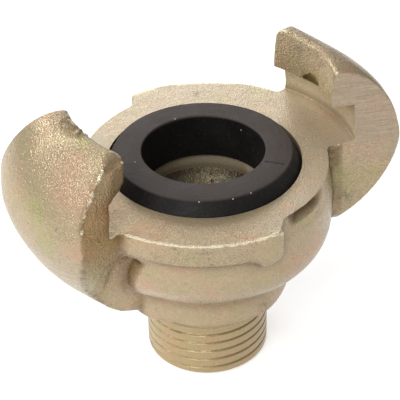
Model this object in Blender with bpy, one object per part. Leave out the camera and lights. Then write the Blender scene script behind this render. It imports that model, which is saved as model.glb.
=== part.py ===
"""Claw hose coupling: a cast body with two claws, two lobes and a male pipe thread, and its seal ring.

Metres, +Z up. The origin is the middle of the thread's end face, on which the coupling stands.
The mating face looks up. The body repeats itself after half a turn about Z, and the first claw
runs anticlockwise from its heel, a little past +X, to its toe. Angles are degrees about Z.
"""
import math

import bmesh
import bpy
from mathutils import Matrix

# Clearance kept between pieces that touch
SEAT_GAP = 0.0003

# Spigot with the pipe thread, and its wall around the bore
THREAD_DIAMETER = 0.020955
THREAD_LENGTH = 0.0142
THREAD_CHAMFER = 0.0005
SPIGOT_WALL = 0.0040

# Neck above the thread
NECK_STEP = 0.0036
NECK_LENGTH = 0.0061
NECK_EDGE = 0.0006
NECK_FILLET = 0.0012

# Bowl that carries the mating face
BOWL_DIAMETER = 0.0416
BOWL_DEPTH = 0.0179
BOWL_SWEEP = 74.0
SHOULDER_DEPTH = 0.0024
SHOULDER_DROP = 0.0018

# Mating face and its two lobes, under which the other half's claws turn
FACE_STEP = 0.0005
LOBE_REACH = 0.0029
LOBE_THICKNESS = 0.0045
LOBE_EDGE = 0.0010
LOBE_SLOPE = 0.0007
LOBE_END_ANGLE = 122.0
LOBE_STEP_SWEEP = 6.5
NUB_HEIGHT = 0.0017
NUB_SWEEP = 9.0

# Slot that is turned in both claws together with the mating face, and takes the other half's lobes
SLOT_CLEARANCE = 0.0022
SLOT_HEIGHT = 0.0065
SLOT_FILLET = 0.0006
FACING_STOCK = 0.0005

# Claws, measured from the mating face and from the slot's wall
HEEL_WALL = 0.0075
TOE_WALL = 0.0056
CLAW_SWELL = 0.0013
LIP_DEPTH = 0.00405
LIP_LEAN = 0.0003
LIP_EDGE = 0.0009
LIP_FLAT = 0.0001
HEEL_LIP_HEIGHT = 0.0134
HEEL_BELLY_HEIGHT = 0.0002
HEEL_DEPTH = 0.0137
TOE_LIP_HEIGHT = 0.0141
TOE_BELLY_HEIGHT = 0.0009
TOE_ROUND = 0.0017

# Shape of the claw's rounds: 1 is an ellipse, more is flatter
HEEL_UNDER_POWER = 1.40
TOE_UNDER_POWER = 1.27
HEEL_OVER_POWER = 0.99
TOE_OVER_POWER = 1.12
MIDDLE_FULLNESS = 0.20
FOOT_HASTE = 0.7

# Ground plane that ends each claw at its heel: the way it runs, its distance from the axis, its lean
HEEL_DIRECTION = 11.0
HEEL_OFFSET = -0.0006
HEEL_LEAN = 9.5

# End face of each toe: it reaches forward at the slot's floor, and falls back outwards and downwards
TOE_ANGLE = 55.0
TOE_FOOT_SWEEP = 1.4
TOE_BEVEL = 0.0017
NOSE_BEVEL = 0.0007
TOE_ROOT_ANGLE = 43.5

# Locking notch in the lower edge of each lip
NOTCH_ANGLE = 34.0
NOTCH_SWEEP = 9.5
NOTCH_SLANT = 2.0
NOTCH_HEIGHT = 0.0014
NOTCH_DEPTH = 0.0014

# Seal ring and the groove that holds it
SEAL_RIM = 0.0046
SEAL_WALL = 0.0056
SEAL_BEVEL = 0.0013
SEAL_HEIGHT = 0.0084
SEAL_PROUD = 0.0021
SEAL_TOP_FALL = 0.0002
SEAL_EDGE = 0.0003
GROOVE_CHAMFER = 0.0007

# Throat between the groove and the bore
THROAT_LEDGE = 0.0007
THROAT_DEPTH = 0.0027
THROAT_CONE = 0.0050

# Fineness of the round forms
RING_STEPS = 96
CLAW_STEPS = 20
CLAW_ROWS = 13
LOBE_STEPS = 26
ARC_STEPS = 5
SMOOTH_ANGLE = 32.0

# Heights above the thread's end face
NECK_Z = THREAD_LENGTH
BOWL_Z = NECK_Z + NECK_LENGTH
FACE_Z = BOWL_Z + BOWL_DEPTH

# Radii that follow from the sizes above
SPIGOT_RADIUS = THREAD_DIAMETER / 2
BORE_RADIUS = SPIGOT_RADIUS - SPIGOT_WALL
NECK_RADIUS = SPIGOT_RADIUS + NECK_STEP
BOWL_RADIUS = BOWL_DIAMETER / 2
BOWL_ROUND = (BOWL_RADIUS - NECK_RADIUS - NECK_FILLET) / (1.0 - math.cos(math.radians(BOWL_SWEEP)))
FACE_RADIUS = BOWL_RADIUS - FACE_STEP
LOBE_RADIUS = FACE_RADIUS + LOBE_REACH
SLOT_RADIUS = LOBE_RADIUS + SLOT_CLEARANCE
LIP_RADIUS = SLOT_RADIUS - LIP_DEPTH
SEAL_RADIUS = FACE_RADIUS - SEAL_RIM
SEAL_BORE_RADIUS = SEAL_RADIUS - SEAL_WALL
THROAT_RADIUS = SEAL_BORE_RADIUS + THROAT_LEDGE

# Material colours, linear
ZINC_COLOUR = (0.42, 0.33, 0.21, 1.0)
RUBBER_COLOUR = (0.025, 0.022, 0.022, 1.0)


def clear_scene():
    for old in list(bpy.data.objects):
        bpy.data.objects.remove(old, do_unlink=True)


def make_material(name, colour, roughness, metallic):
    material = bpy.data.materials.new(name)
    material.use_nodes = True
    surface = material.node_tree.nodes["Principled BSDF"]
    surface.inputs["Base Color"].default_value = colour
    surface.inputs["Roughness"].default_value = roughness
    surface.inputs["Metallic"].default_value = metallic
    return material


def mix(first, last, share):
    return first + (last - first) * share


def ease(share):
    """Share of a smooth change from 0 to 1, flat at both ends."""
    share = min(max(share, 0.0), 1.0)
    return share * share * (3.0 - 2.0 * share)


def polar(radius, angle, height):
    turn = math.radians(angle)
    return (radius * math.cos(turn), radius * math.sin(turn), height)


def arc(radius, height, size, start, end, steps=ARC_STEPS):
    """Points (radius, height) on a round of the given size, from one angle to the other."""
    points = []
    for step in range(steps + 1):
        turn = math.radians(mix(start, end, step / steps))
        points.append((radius + size * math.cos(turn), height + size * math.sin(turn)))
    return points


def skin(sections, closed, last_rib=None):
    """One solid through outlines of equal length; an open run gets its two ends filled by strips."""
    mesh = bmesh.new()
    rows = [[mesh.verts.new(point) for point in section] for section in sections]
    count = len(rows[0])
    pairs = list(zip(rows, rows[1:]))
    if closed:
        pairs.append((rows[-1], rows[0]))
    for near, far in pairs:
        for index in range(count):
            after = (index + 1) % count
            mesh.faces.new((near[index], near[after], far[after], far[index]))
    if not closed:
        fill_end(mesh, rows[0], None)
        fill_end(mesh, rows[-1], last_rib)
    bmesh.ops.recalc_face_normals(mesh, faces=mesh.faces)
    return mesh


def fill_end(mesh, row, rib):
    """Fill an outline by strips between its two halves, bent along a rib of points where it has one."""
    half = len(row) // 2
    middle = [mesh.verts.new(point) if point else None for point in rib or [None] * half]
    for index in range(half - 1):
        near = [row[index], row[index + 1]]
        far = [row[-index - 2], row[-index - 1]]
        bend = [vertex for vertex in (middle[index + 1], middle[index]) if vertex]
        if len(bend) == 2:
            mesh.faces.new(near + bend)
            mesh.faces.new(bend[::-1] + far)
        elif bend:
            mesh.faces.new(near + ([bend[0]] + far if middle[index + 1] else far + [bend[0]]))
        else:
            mesh.faces.new(near + far)


def turned(outline):
    """Ring turned about Z from a closed outline of (radius, height) points."""
    angles = [360.0 * step / RING_STEPS for step in range(RING_STEPS)]
    return skin([[polar(radius, angle, height) for radius, height in outline] for angle in angles], True)


def place(mesh, name, material=None):
    data = bpy.data.meshes.new(name)
    mesh.to_mesh(data)
    mesh.free()
    data.shade_smooth()
    piece = bpy.data.objects.new(name, data)
    bpy.context.scene.collection.objects.link(piece)
    if material:
        data.materials.append(material)
    return piece


def half_turn(mesh):
    """The same shape on the other side of the axis."""
    copy = mesh.copy()
    bmesh.ops.rotate(copy, verts=copy.verts, cent=(0, 0, 0), matrix=Matrix.Rotation(math.pi, 3, "Z"))
    return copy


def use_tool(body, tool, operation):
    tool.hide_render = True
    tool.display_type = "WIRE"
    change = body.modifiers.new(tool.name, "BOOLEAN")
    change.operation = operation
    change.solver = "EXACT"
    change.object = tool


def crease_nodes():
    """Node group that keeps rounds smooth and shows every edge sharper than the set angle."""
    tree = bpy.data.node_groups.new("crease_by_angle", "GeometryNodeTree")
    tree.interface.new_socket("Geometry", in_out="INPUT", socket_type="NodeSocketGeometry")
    tree.interface.new_socket("Geometry", in_out="OUTPUT", socket_type="NodeSocketGeometry")
    start = tree.nodes.new("NodeGroupInput")
    end = tree.nodes.new("NodeGroupOutput")
    angle = tree.nodes.new("GeometryNodeInputMeshEdgeAngle")
    sharp = tree.nodes.new("FunctionNodeCompare")
    sharp.operation = "GREATER_THAN"
    sharp.inputs[1].default_value = math.radians(SMOOTH_ANGLE)
    shade = tree.nodes.new("GeometryNodeSetShadeSmooth")
    shade.domain = "EDGE"
    shade.inputs["Shade Smooth"].default_value = False
    tree.links.new(angle.outputs["Unsigned Angle"], sharp.inputs[0])
    tree.links.new(start.outputs[0], shade.inputs["Geometry"])
    tree.links.new(sharp.outputs[0], shade.inputs["Selection"])
    tree.links.new(shade.outputs["Geometry"], end.inputs[0])
    return tree


def core_outline():
    """Half section of the turned core: bore, throat, groove, face, bowl, neck and spigot."""
    groove = SEAL_RADIUS + SEAT_GAP
    groove_z = FACE_Z + SEAL_PROUD - SEAL_HEIGHT - SEAT_GAP
    stock = GROOVE_CHAMFER + FACING_STOCK
    inside = [
        (BORE_RADIUS, 0.0),
        (BORE_RADIUS, groove_z - THROAT_DEPTH - THROAT_CONE),
        (THROAT_RADIUS, groove_z - THROAT_DEPTH),
        (THROAT_RADIUS, groove_z),
        (groove, groove_z),
        (groove, FACE_Z - GROOVE_CHAMFER),
        (groove + stock, FACE_Z + FACING_STOCK),
    ]
    round_z = BOWL_Z + BOWL_ROUND
    foot_z = round_z - BOWL_ROUND * math.sin(math.radians(BOWL_SWEEP)) - NECK_FILLET
    outside = [
        (FACE_RADIUS, FACE_Z + FACING_STOCK),
        (FACE_RADIUS, FACE_Z - SHOULDER_DEPTH),
        (BOWL_RADIUS, FACE_Z - SHOULDER_DEPTH - SHOULDER_DROP),
    ]
    outside += arc(BOWL_RADIUS - BOWL_ROUND, round_z, BOWL_ROUND, 0.0, -BOWL_SWEEP, 2 * ARC_STEPS)
    outside += arc(NECK_RADIUS + NECK_FILLET, foot_z, NECK_FILLET, 90.0, 180.0)[1:]
    outside += arc(NECK_RADIUS - NECK_EDGE, NECK_Z + NECK_EDGE, NECK_EDGE, 0.0, -90.0)
    outside += [
        (SPIGOT_RADIUS, NECK_Z),
        (SPIGOT_RADIUS, THREAD_CHAMFER),
        (SPIGOT_RADIUS - THREAD_CHAMFER, 0.0),
    ]
    return inside + outside


def lobe_radius(angle):
    """Outer radius of the first lobe, with the hollow step at its free end."""
    share = (angle - LOBE_END_ANGLE) / LOBE_STEP_SWEEP
    if share <= 0.0:
        return LOBE_RADIUS
    return mix(LOBE_RADIUS, FACE_RADIUS, math.sqrt(1.0 - (1.0 - share) ** 2))


def lobe_depth(angle):
    """Thickness of the first lobe, with the locking nub before its free end."""
    rise = ease((angle - LOBE_END_ANGLE + 1.5 * NUB_SWEEP) / (0.5 * NUB_SWEEP))
    return LOBE_THICKNESS + NUB_HEIGHT * rise


def lobe():
    """One lobe of the mating face, from inside the claw's toe to its own free end."""
    root = (SEAL_RADIUS + FACE_RADIUS) / 2
    bends = [LOBE_END_ANGLE + LOBE_STEP_SWEEP * share ** 2 for share in (0.0, 0.15, 0.3, 0.5, 0.75, 1.0)]
    angles = [mix(TOE_ROOT_ANGLE, LOBE_END_ANGLE, step / LOBE_STEPS) for step in range(LOBE_STEPS)] + bends
    sections = []
    for angle in angles:
        rim = lobe_radius(angle)
        bottom = FACE_Z - lobe_depth(angle)
        outline = [(root, FACE_Z + FACING_STOCK), (rim, FACE_Z + FACING_STOCK)]
        outline += arc(rim - LOBE_EDGE, bottom + LOBE_EDGE, LOBE_EDGE, 0.0, -90.0, 3)
        outline += [(BOWL_RADIUS - LOBE_EDGE, bottom - LOBE_SLOPE), (root, bottom - LOBE_SLOPE)]
        sections.append([polar(radius, angle, height) for radius, height in outline])
    return skin(sections, False)


def heel_angle(radius, height):
    """Angle at which the heel's ground plane cuts a circle, the height taken from the mating face."""
    offset = HEEL_OFFSET + height * math.tan(math.radians(HEEL_LEAN))
    return HEEL_DIRECTION + math.degrees(math.asin(offset / radius))


def toe_angle(radius, height, share):
    """Angle of the toe's end face, share running from the claw's inner side (0) to its outer side (1)."""
    rise = max(height - TOE_LIP_HEIGHT + TOE_ROUND, 0.0)
    rounding = TOE_ROUND - math.sqrt(max(TOE_ROUND ** 2 - rise ** 2, 0.0))
    climb = min(max(height / TOE_LIP_HEIGHT, 0.0), 1.0)
    retreat = rounding + mix(TOE_BEVEL, NOSE_BEVEL, climb) * share ** 2
    front = TOE_ANGLE + TOE_FOOT_SWEEP * (1.0 - min(max(height / SLOT_HEIGHT, 0.0), 1.0))
    return mix(front, TOE_ROOT_ANGLE, ease(-height / BOWL_DEPTH)) - math.degrees(retreat / radius)


def lip_height(share):
    """Height of the lip's crest, share running from the heel (0) to the toe (1)."""
    return mix(HEEL_LIP_HEIGHT, TOE_LIP_HEIGHT, 1.0 - (1.0 - share) ** 2)


def claw_outer(share):
    """Outer line of the claw from its foot to its crest: two quarter rounds that meet at the belly."""
    swell = 4.0 * share * (1.0 - share)
    belly = SLOT_RADIUS + mix(HEEL_WALL, TOE_WALL, share) + CLAW_SWELL * swell
    belly_z = mix(HEEL_BELLY_HEIGHT, TOE_BELLY_HEIGHT, share)
    crest = LIP_RADIUS + LIP_LEAN + LIP_EDGE + LIP_FLAT
    drop = share ** FOOT_HASTE
    foot = mix(BOWL_RADIUS, NECK_RADIUS, drop) - SEAT_GAP
    foot_z = mix(-HEEL_DEPTH, NECK_Z + NECK_EDGE - FACE_Z, drop)
    under = mix(HEEL_UNDER_POWER, TOE_UNDER_POWER, share) - MIDDLE_FULLNESS * swell
    over = mix(HEEL_OVER_POWER, TOE_OVER_POWER, share) + MIDDLE_FULLNESS * swell
    points = []
    for row in range(CLAW_ROWS):
        turn = math.radians(90.0 * row / CLAW_ROWS)
        reach = math.sin(turn) ** under
        fall = math.cos(turn) ** under
        points.append((mix(foot, belly, reach), mix(belly_z, foot_z, fall)))
    for row in range(CLAW_ROWS + 1):
        turn = math.radians(90.0 * row / CLAW_ROWS)
        reach = max(math.cos(turn), 0.0) ** over
        climb = math.sin(turn) ** over
        points.append((mix(crest, belly, reach), mix(belly_z, lip_height(share), climb)))
    return points


def claw_inner_radius(height, crest_z):
    """Inner side of the claw: the lip's leaning face above the slot, inside the core's wall below."""
    if height > SLOT_HEIGHT / 2:
        rise = max(height - crest_z + LIP_EDGE, 0.0)
        rounding = LIP_EDGE - math.sqrt(max(LIP_EDGE ** 2 - rise ** 2, 0.0))
        return LIP_RADIUS + LIP_LEAN * (height / crest_z) + rounding
    groove_depth = SEAL_HEIGHT - SEAL_PROUD + SEAT_GAP
    upper = (SEAL_RADIUS + FACE_RADIUS) / 2
    lower = (THROAT_RADIUS + NECK_RADIUS) / 2
    return mix(upper, lower, ease((-height - groove_depth) / THROAT_DEPTH))


def claw():
    """One claw without its slot: a scoop swept from the heel's plane to the toe's end face."""
    sections = []
    for step in range(CLAW_STEPS + 1):
        share = step / CLAW_STEPS
        outer = claw_outer(share)
        inner = [(claw_inner_radius(height, lip_height(share)), height) for radius, height in outer]
        section = []
        for side, line in ((1.0, outer), (0.0, inner[::-1])):
            for radius, height in line:
                angle = mix(heel_angle(radius, height), toe_angle(radius, height, side), share)
                section.append(polar(radius, angle, FACE_Z + height))
        sections.append(section)
    rib = []
    for (reach, height), (depth, _) in zip(outer, inner):
        radius = (reach + depth) / 2
        point = polar(radius, toe_angle(radius, height, 0.5), FACE_Z + height)
        rib.append(point if reach > SLOT_RADIUS else None)
    return skin(sections, False, rib)


def facing_outline():
    """Half section of the cutter that faces the lobes and leaves the slot in each claw."""
    hole = BORE_RADIUS / 2
    outline = [(hole, FACE_Z)]
    outline += arc(SLOT_RADIUS - SLOT_FILLET, FACE_Z + SLOT_FILLET, SLOT_FILLET, -90.0, 0.0, 2)
    outline += [(SLOT_RADIUS, FACE_Z + SLOT_HEIGHT), (hole, FACE_Z + SLOT_HEIGHT)]
    return outline


def notch_tool():
    """Cutter of the locking notch, deepest where the nub drops in, with ends that slant to the heel."""
    start = NOTCH_ANGLE - NOTCH_SWEEP / 2
    floor_z = FACE_Z + SLOT_HEIGHT - NOTCH_HEIGHT
    ceiling_z = FACE_Z + SLOT_HEIGHT + NOTCH_HEIGHT
    near = LIP_RADIUS - NOTCH_DEPTH
    sections = []
    for share in (0.0, 0.3, 0.6, 1.0):
        angle = start + NOTCH_SWEEP * share
        top = angle - NOTCH_SLANT * (1.0 - share)
        far = LIP_RADIUS + LIP_LEAN + NOTCH_DEPTH * ease(1.6 * (1.0 - share))
        section = [polar(radius, angle, floor_z) for radius in (near, far)]
        section += [polar(radius, top, ceiling_z) for radius in (far, near)]
        sections.append(section)
    return skin(sections, False)


def seal_outline():
    """Half section of the seal ring: straight inside, with a bevelled lip that stands proud."""
    inner = SEAL_BORE_RADIUS
    top = SEAL_RADIUS - SEAL_BEVEL
    top_z = FACE_Z + SEAL_PROUD
    rim_z = top_z - SEAL_TOP_FALL
    bottom_z = top_z - SEAL_HEIGHT
    outline = [(inner, bottom_z)]
    outline += arc(inner + SEAL_EDGE, top_z - SEAL_EDGE, SEAL_EDGE, 180.0, 90.0, 3)
    outline += arc(top - SEAL_EDGE, rim_z - SEAL_EDGE, SEAL_EDGE, 90.0, 35.0, 3)
    outline += [(SEAL_RADIUS, FACE_Z - GROOVE_CHAMFER), (SEAL_RADIUS, bottom_z)]
    return outline


def make_body(material):
    """Cast body: the turned core with lobes and claws, then faced, slotted and notched."""
    body = place(turned(core_outline()), "coupling_body", material)
    for name, form in (("lobe", lobe()), ("claw", claw())):
        use_tool(body, place(half_turn(form), "far_" + name), "UNION")
        use_tool(body, place(form, "near_" + name), "UNION")
    use_tool(body, place(turned(facing_outline()), "facing_tool"), "DIFFERENCE")
    notch = notch_tool()
    use_tool(body, place(half_turn(notch), "far_notch"), "DIFFERENCE")
    use_tool(body, place(notch, "near_notch"), "DIFFERENCE")
    return body


def main():
    clear_scene()
    zinc = make_material("zinc_plated_cast_iron", ZINC_COLOUR, 0.45, 0.7)
    rubber = make_material("seal_rubber", RUBBER_COLOUR, 0.75, 0.0)
    creases = crease_nodes()
    for piece in (make_body(zinc), place(turned(seal_outline()), "seal_ring", rubber)):
        piece.modifiers.new("creases", "NODES").node_group = creases


main()
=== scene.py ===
"""Looks of the claw hose coupling: the cast, plated body, its cut thread and its rubber seal ring.

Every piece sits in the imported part's own frame: metres, +Z up, the thread's end face at z = 0
and the mating face looking up. The right-hand claw is the one near +X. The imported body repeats
it after half a turn, and the casting here lets the two differ a little, as real ones do.
"""
import math

import bmesh
import bpy
import numpy as np
from mathutils import Matrix, Vector, noise
from mathutils.bvhtree import BVHTree


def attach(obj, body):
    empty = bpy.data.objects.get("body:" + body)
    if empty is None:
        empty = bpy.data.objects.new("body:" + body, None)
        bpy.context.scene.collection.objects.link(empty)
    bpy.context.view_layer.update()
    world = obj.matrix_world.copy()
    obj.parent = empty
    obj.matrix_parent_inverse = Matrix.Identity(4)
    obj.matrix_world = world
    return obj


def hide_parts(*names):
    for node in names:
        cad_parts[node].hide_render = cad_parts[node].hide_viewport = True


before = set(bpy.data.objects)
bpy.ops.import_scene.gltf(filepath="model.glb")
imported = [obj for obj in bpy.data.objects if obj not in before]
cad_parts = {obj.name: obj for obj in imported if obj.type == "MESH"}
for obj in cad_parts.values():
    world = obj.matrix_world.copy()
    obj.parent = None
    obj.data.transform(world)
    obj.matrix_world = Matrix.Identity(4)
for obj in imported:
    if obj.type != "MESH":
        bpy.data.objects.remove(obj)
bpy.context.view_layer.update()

MM = 0.001

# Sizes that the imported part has, in millimetres and degrees
THREAD_END = 14.2
THREAD_RADIUS = 20.955 / 2
THREAD_PITCH = 1.814
BORE_RADIUS = 6.48
FACE_Z = 38.2
SLOT_RADIUS = 25.4
SLOT_TOP = 44.7
LIP_RADIUS = 21.35
SEAL_RADIUS = 15.85
SEAL_BORE = 10.1
GROOVE_RADIUS = 16.0
GROOVE_FLOOR = 31.6
THROAT_RADIUS = 10.8
THROAT_FLOOR = 28.9
CONE_FLOOR = 23.9
HEEL_DIRECTION = 11.0
HEEL_OFFSET = -0.6
HEEL_LEAN = 9.5
TOE_FACING = 141.0

# The two claws: the right-hand one as it lies, and the other one turned by half
SIDES = (1.0, -1.0)

# Vertices nearer to each other than this are one, in metres
WELD = 1e-6

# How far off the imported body's machined faces a point still counts as lying on them
FACE_MARGIN = 0.01
WALL_MARGIN = 0.02
SLOT_MARGIN = 0.03
FLOOR_MARGIN = 0.05

# Casting: fineness of its mesh, stock left for machining, and how its corners are worked
CAST_VOXEL = 0.37
STOCK = 0.5
BORE_STOCK = 1.5
FILLET_ROUNDS = 40
SOFTEN_ROUNDS = 1
NORMALS_EVERY = 4
SLIDE = 0.3

# Reach of each anchor that pushes the casting out or in, and the weight of no push at all
ANCHOR_REACH = 2.6
ANCHOR_REST = 0.04

# Depths of the forms that only the real casting has
POCKET_DEPTH = 1.6
UNDERCUT_DEPTH = 1.3
BRIM_LIFT = 0.7
NECK_SWELL = 0.4

# Machined forms: fineness of the cut faces, and the measures of their cutters
CUT_STEP = 0.6
CUT_BOTTOM = 10.0
CUT_TOP = FACE_Z + 0.8
CORE_RADIUS = 3.0
BORING_SIDES = 192
FACING_INNER = 8.0
FACING_SIDES = 256
TOOL_NOSE = 0.22

# Heel: where the grinding reaches in to the slot, how deep it goes, and its cutter's mesh
GRIND_SHOULDER = FACE_Z + 0.3
GRIND_DEPTH = 3.0
GRIND_BOTTOM = 31.0
GRIND_REACH = 40.0
GRIND_ROWS = 40
GRIND_COLUMNS = 30
FLUSH_REACH = 2.5

# Thread: depth, run-out, chamfer, where it starts as a share of a turn, and its sleeve's mesh
THREAD_DEPTH = 0.34
RUN_OUT_START = 9.5
RUN_OUT_END = 11.3
THREAD_CHAMFER = 0.5
THREAD_START = -0.20
THREAD_COLUMNS = 241
THREAD_ROWS = 190

# Seal: its mesh, how proud it stands, its edges, and how it sits a little askew in its groove
SEAL_SIDES = 256
SEAL_BOTTOM = 31.95
SEAL_PROUD = 2.1
SEAL_INNER_EDGE = 0.22
SEAL_RIM = 14.6
SEAL_RIM_DROP = 0.4
SEAL_RIM_EDGE = 0.25
SEAL_LEAN = 1.7
SEAL_SHIFT = 0.12

# Edges sharper than this stay sharp in the shading, in degrees
BODY_SHARP = 38.0
THREAD_SHARP = 50.0


def polar(radius, angle, height):
    turn = math.radians(angle)
    return (radius * math.cos(turn) * MM, radius * math.sin(turn) * MM, height * MM)


def ramp(value, start, end):
    """0 below start, 1 above end, smooth in between; works on arrays."""
    share = np.clip((value - start) / (end - start), 0.0, 1.0)
    return share * share * (3.0 - 2.0 * share)


def band(value, start, full, fade, end):
    """1 from full to fade, 0 outside start and end, smooth in between."""
    return ramp(value, start, full) * (1.0 - ramp(value, fade, end))


def add_object(name, data):
    thing = bpy.data.objects.new(name, data)
    bpy.context.scene.collection.objects.link(thing)
    return thing


def new_piece(name, mesh, materials):
    mesh.materials.clear()
    for material in materials:
        mesh.materials.append(material)
    return add_object(name, mesh)


def mesh_from(bm, name):
    mesh = bpy.data.meshes.new(name)
    bm.to_mesh(mesh)
    bm.free()
    return mesh


def solid_from(bm, name):
    """Mesh of a closed form, its normals outward."""
    bmesh.ops.recalc_face_normals(bm, faces=bm.faces)
    return mesh_from(bm, name)


def applied(piece):
    """Turn a piece's live modifiers into a plain mesh, and remove them."""
    graph = bpy.context.evaluated_depsgraph_get()
    mesh = bpy.data.meshes.new_from_object(piece.evaluated_get(graph))
    piece.modifiers.clear()
    old = piece.data
    piece.data = mesh
    bpy.data.meshes.remove(old)
    return piece


def coordinates(mesh):
    flat = np.empty(len(mesh.vertices) * 3)
    mesh.vertices.foreach_get("co", flat)
    return flat.reshape(-1, 3)


def set_coordinates(mesh, points):
    mesh.vertices.foreach_set("co", np.ascontiguousarray(points, dtype=np.float32).ravel())
    mesh.update()


def bridge(bm, first, second, closed=False):
    """Faces between two lines of as many vertices."""
    count = len(first)
    for i in range(count if closed else count - 1):
        k = (i + 1) % count
        bm.faces.new((first[i], first[k], second[k], second[i]))


def arc(radius, height, size, angles):
    """Points of an outline's rounded corner, round a centre at (radius, height)."""
    turns = [math.radians(angle) for angle in angles]
    return [(radius + size * math.cos(turn), height + size * math.sin(turn)) for turn in turns]


def turned(outline, steps, name):
    """Closed ring turned about Z from an outline of (radius, height) in millimetres."""
    bm = bmesh.new()
    rows = []
    for step in range(steps):
        rows.append([bm.verts.new(polar(r, 360.0 * step / steps, z)) for r, z in outline])
    for row, after in zip(rows, rows[1:] + rows[:1]):
        bridge(bm, row, after, closed=True)
    return solid_from(bm, name)


# ---- casting

def heel_distance(x, y, z):
    """Distance in front of the right-hand claw's ground heel plane; negative on the open side."""
    turn = math.radians(HEEL_DIRECTION)
    offset = HEEL_OFFSET + (z - FACE_Z) * math.tan(math.radians(HEEL_LEAN))
    return -x * math.sin(turn) + y * math.cos(turn) - offset


def is_bored(radius, height):
    """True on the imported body's groove, throat, cone and bore."""
    if height > GROOVE_FLOOR - FLOOR_MARGIN:
        return radius < GROOVE_RADIUS + WALL_MARGIN
    if height > CONE_FLOOR - FLOOR_MARGIN:
        return radius < THROAT_RADIUS + WALL_MARGIN
    return radius < BORE_RADIUS + WALL_MARGIN


def leave_stock(point):
    """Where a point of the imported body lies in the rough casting, which has stock for machining."""
    x, y, z = (c / MM for c in point)
    turn = math.radians(HEEL_DIRECTION)
    for side in SIDES:
        radius = math.hypot(x, y)
        if radius > 20.0 and abs(heel_distance(side * x, side * y, z)) < FACE_MARGIN:
            share = 1.0 if z > FACE_Z - FACE_MARGIN else float(ramp(radius, 22.0, 24.5))
            x += side * STOCK * share * math.sin(turn)
            y -= side * STOCK * share * math.cos(turn)
    radius = math.hypot(x, y)
    new_radius = radius
    if radius < SLOT_RADIUS + SLOT_MARGIN and FACE_Z - FACE_MARGIN < z < SLOT_TOP + FACE_MARGIN:
        z = min(max(z, FACE_Z + STOCK), SLOT_TOP - STOCK)
        new_radius = min(radius, SLOT_RADIUS - STOCK)
    elif is_bored(radius, z):
        new_radius = BORE_RADIUS - BORE_STOCK
    z = max(z, THREAD_END)
    scale = new_radius / radius
    return Vector((x * scale * MM, y * scale * MM, z * MM))


def casting():
    """Rough casting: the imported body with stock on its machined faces, as an even, dense mesh."""
    bm = bmesh.new()
    bm.from_mesh(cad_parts["coupling_body"].data)
    bmesh.ops.remove_doubles(bm, verts=bm.verts, dist=2 * WELD)
    for vertex in bm.verts:
        vertex.co = leave_stock(vertex.co)
    surface = BVHTree.FromBMesh(bm)
    piece = new_piece("body", mesh_from(bm, "body"), [])
    remesh = piece.modifiers.new("even", "REMESH")
    remesh.mode = "VOXEL"
    remesh.voxel_size = CAST_VOXEL * MM
    applied(piece)
    for vertex in piece.data.vertices:
        vertex.co = surface.find_nearest(vertex.co)[0]
    return piece


def edge_pairs(mesh):
    flat = np.empty(len(mesh.edges) * 2, dtype=np.int32)
    mesh.edges.foreach_get("vertices", flat)
    return flat.reshape(-1, 2)


def neighbour_mean(values, pairs, degree):
    """Mean of the values at each vertex's neighbours, for numbers or for points."""
    if values.ndim > 1:
        return np.stack([neighbour_mean(column, pairs, degree) for column in values.T], -1)
    first, second = pairs[:, 0], pairs[:, 1]
    total = np.bincount(first, values[second], len(values))
    return (total + np.bincount(second, values[first], len(values))) / degree


def vertex_normals(mesh):
    flat = np.empty(len(mesh.vertices) * 3)
    mesh.vertex_normals.foreach_get("vector", flat)
    return flat.reshape(-1, 3)


def vertex_degree(count, pairs):
    return np.maximum(np.bincount(pairs.ravel(), minlength=count), 1).astype(float)


def spot(radius, angle, height):
    """Point at a radius, an angle and a height above the face, in millimetres."""
    return np.array(polar(radius, angle, FACE_Z + height)) / MM


def bell(points, centre, reach):
    """1 at the centre and fading away from it, for each point."""
    return np.exp(-((points - centre) ** 2).sum(1) / (2.0 * reach**2))


def about_axis(points):
    """Each point's radius, its angle within half a turn, and its height above the face."""
    radius = np.hypot(points[:, 0], points[:, 1])
    angle = np.degrees(np.arctan2(points[:, 1], points[:, 0])) % 180.0
    return radius, angle, points[:, 2] - FACE_Z


def soft_field(points, normals, anchors):
    """Smooth push at each point from anchors of (radius, angle, height above the face, amount)."""
    total = np.full(len(points), ANCHOR_REST)
    push = np.zeros(points.shape)
    for radius, angle, height, amount in anchors:
        centre = spot(radius, angle, height)
        weight = bell(points, centre, ANCHOR_REACH)
        nearest = ((points - centre) ** 2).sum(1).argmin()
        total += weight
        push += weight[:, None] * (amount * normals[nearest])
    return push / total[:, None]


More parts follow.
